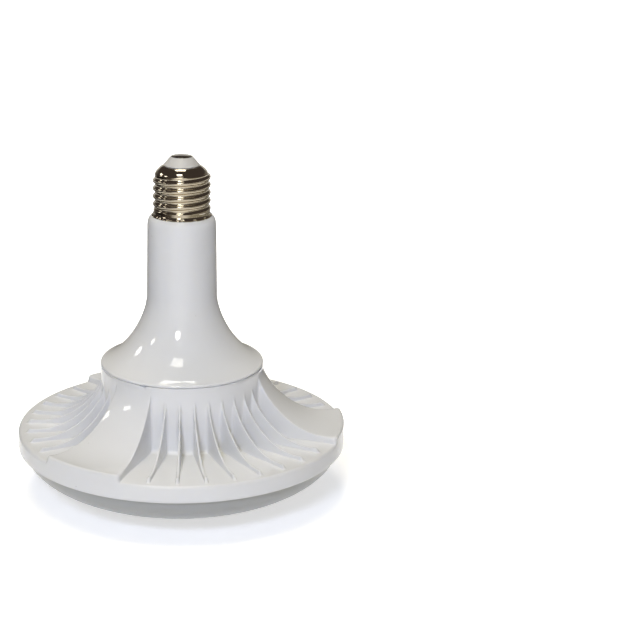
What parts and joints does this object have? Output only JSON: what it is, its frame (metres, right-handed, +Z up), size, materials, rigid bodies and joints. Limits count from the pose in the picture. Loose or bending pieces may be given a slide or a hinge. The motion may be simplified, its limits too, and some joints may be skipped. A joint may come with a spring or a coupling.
{
  "type": "ufo led bulb",
  "caption": "Wide disc-shaped LED lamp with an E27 screw cap, a long flared neck, a ribbed skirt with plain sectors between the rib groups, and a shallow opal diffuser.",
  "frame": {"origin": "lowest point of the diffuser, on the lamp's axis", "axes": "+Z up along the axis toward the cap, as the lamp stands in the picture; -Y is the side that faces the picture's camera; +X is to that camera's right"},
  "size_m": [0.1536, 0.1536, 0.162],
  "materials": {
    "contact": "dull tinned metal",
    "insulator": "smooth moulded insulating plastic",
    "cap": "bright nickel plating, slightly warm",
    "housing": "satin white moulded plastic",
    "diffuser": "satin opal plastic",
    "heat_plate": "rolled sheet",
    "led_board": "white solder mask",
    "leds": "yellow phosphor",
    "screws": "zinc plated",
    "connector": "moulded",
    "driver_board": "green solder mask",
    "capacitor_sleeve": "shrink sleeve",
    "ferrite": "fired ferrite",
    "winding_tape": "yellow winding tape",
    "film_case": "dipped case",
    "resistor": "lacquered",
    "chip_case": "moulded epoxy",
    "red_wire": "insulated wire",
    "blue_wire": "insulated wire",
    "black_wire": "insulated wire"
  },
  "bodies": {
    "root": {"centre_contact": "contact", "cap_insulator": "insulator", "cap_shell": "cap", "upper_housing": "housing", "ribbed_skirt": "housing", "diffuser": "diffuser", "heat_plate": "heat_plate", "led_board": "led_board", "leds": "leds", "board_screws": "screws", "wire_connector": "connector", "driver_board": "driver_board", "bulk_capacitor": "capacitor_sleeve", "output_capacitor": "capacitor_sleeve", "transformer_core": "ferrite", "transformer_winding": "winding_tape", "film_capacitor": "film_case", "filter_choke": "ferrite", "fuse_resistor": "resistor", "bridge_rectifier": "chip_case", "driver_chip": "chip_case", "live_wire": "red_wire", "neutral_wire": "blue_wire", "positive_wire": "red_wire", "negative_wire": "black_wire"}
  },
  "joints": []
}
